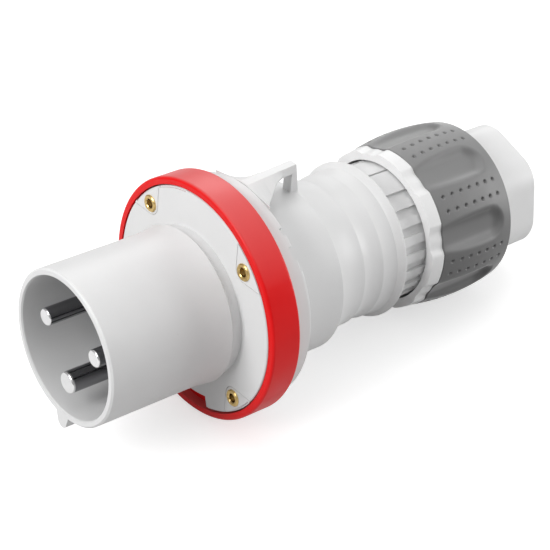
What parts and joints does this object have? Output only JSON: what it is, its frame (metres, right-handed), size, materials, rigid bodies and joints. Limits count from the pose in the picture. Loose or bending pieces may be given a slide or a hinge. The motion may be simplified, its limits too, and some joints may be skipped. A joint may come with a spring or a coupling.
{
  "type": "industrial pin and sleeve plug",
  "caption": "Straight watertight industrial plug with a round shroud, contact pins, red locking ring and screw gland grip.",
  "frame": {"origin": "centre of the shroud's mouth plane", "axes": "+X along the plug's axis from the mouth towards the cable, +Z towards the lug on the handle, -Z towards the key on the shroud"},
  "size_m": [0.2561, 0.113, 0.113],
  "materials": {
    "shroud_plastic": "light grey moulded plastic, fine satin grain",
    "block_plastic": "light grey moulded plastic",
    "brass": "turned brass, slightly worn",
    "screw_steel": "zinc-plated steel",
    "carrier_plastic": "grey moulded plastic",
    "retainer_plastic": "grey moulded plastic",
    "seal_rubber": "black rubber",
    "pin_metal": "bright nickel-plated brass",
    "handle_plastic": "light grey moulded plastic, satin",
    "cage_plastic": "grey moulded plastic",
    "ring_plastic": "red moulded plastic, satin gloss",
    "slip_plastic": "white slippery plastic",
    "nut_plastic": "white moulded plastic, satin",
    "grip_rubber": "soft grey over-moulding, matt"
  },
  "bodies": {
    "housing": {"shroud_housing": "shroud_plastic", "clamp_blocks": "block_plastic", "brass_inserts": "brass", "flange_screws": "screw_steel", "contact_carrier": "carrier_plastic", "pin_retainer": "retainer_plastic", "retainer_screws": "screw_steel", "pin_seals": "seal_rubber", "carrier_seal": "seal_rubber", "earth_pin": "pin_metal", "phase_pin_left": "pin_metal", "phase_pin_right": "pin_metal", "earth_terminal_screws": "screw_steel", "phase_terminal_screws": "screw_steel", "flange_gasket": "seal_rubber", "handle_collar": "handle_plastic", "handle_lug": "handle_plastic", "handle_housing": "handle_plastic", "handle_neck": "handle_plastic", "handle_thread": "handle_plastic", "clamp_cage": "cage_plastic", "cable_seal": "seal_rubber"},
    "ring": {"locking_ring": "ring_plastic"},
    "slider": {"slip_ring": "slip_plastic"},
    "nut": {"gland_nut": "nut_plastic", "grip_sleeve": "grip_rubber"}
  },
  "joints": [
    {"name": "ring_turn", "type": "hinge", "parent": "housing", "child": "ring", "pos_m": [0.0753, 0, 0], "axis": [1, 0, 0], "range_deg": [-16.5, 16.5]},
    {"name": "nut_feed", "type": "slide", "parent": "housing", "child": "slider", "axis": [1, 0, 0], "range_m": [-0.0145, 0]},
    {"name": "nut_turn", "type": "hinge", "parent": "slider", "child": "nut", "pos_m": [0.2, 0, 0], "axis": [1, 0, 0], "range_deg": [-1300, 0]}
  ],
  "couplings": [
    {"joint": "nut_feed", "follows": "nut_turn", "m_per_rad": 0.00063662}
  ]
}
